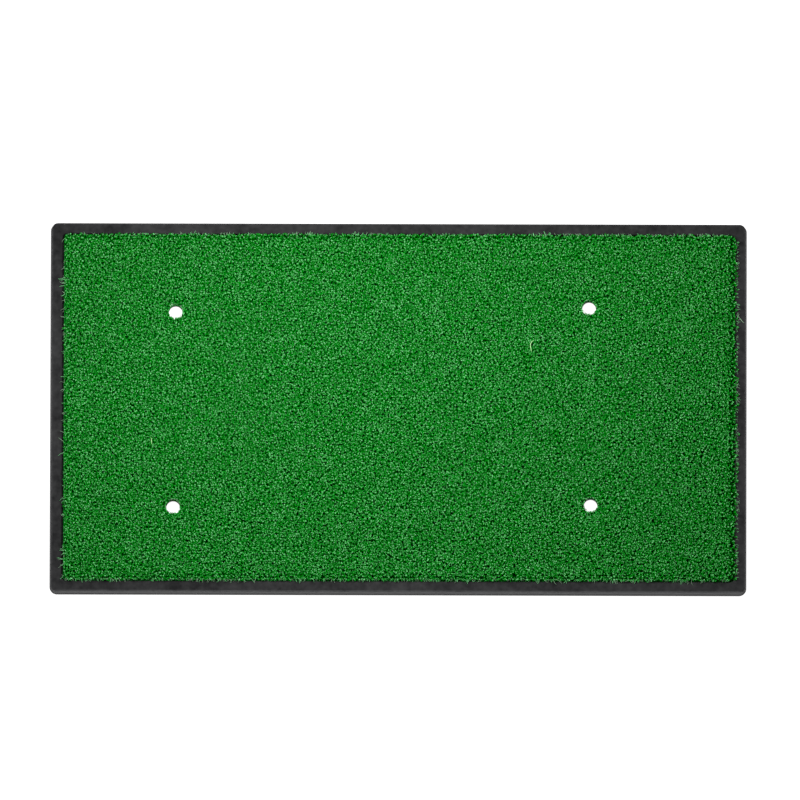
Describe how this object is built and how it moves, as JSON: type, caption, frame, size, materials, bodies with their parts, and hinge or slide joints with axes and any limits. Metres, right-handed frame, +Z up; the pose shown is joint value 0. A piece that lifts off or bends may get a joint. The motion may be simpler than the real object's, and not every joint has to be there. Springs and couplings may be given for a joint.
{
  "type": "golf hitting mat",
  "caption": "Rectangular practice mat with a dense curly turf pad glued into a raised-rim rubber tray, punched through with tee holes.",
  "frame": {"origin": "on the ground, at the middle of the tray's foot", "axes": "+X along the mat, +Y towards its back edge, +Z up"},
  "size_m": [0.6348, 0.3398, 0.026],
  "materials": {
    "base_rubber": "matte, finely grained moulded rubber",
    "adhesive": "cured contact adhesive",
    "latex": "matte latex coat",
    "backing_cloth": "plain woven tape cloth",
    "turf_yarn": "curly synthetic turf yarn, slight sheen"
  },
  "bodies": {
    "root": {"rubber_base": "base_rubber", "adhesive_film": "adhesive", "latex_backing": "latex", "woven_backing": "backing_cloth", "turf_pile": "turf_yarn"}
  },
  "joints": []
}
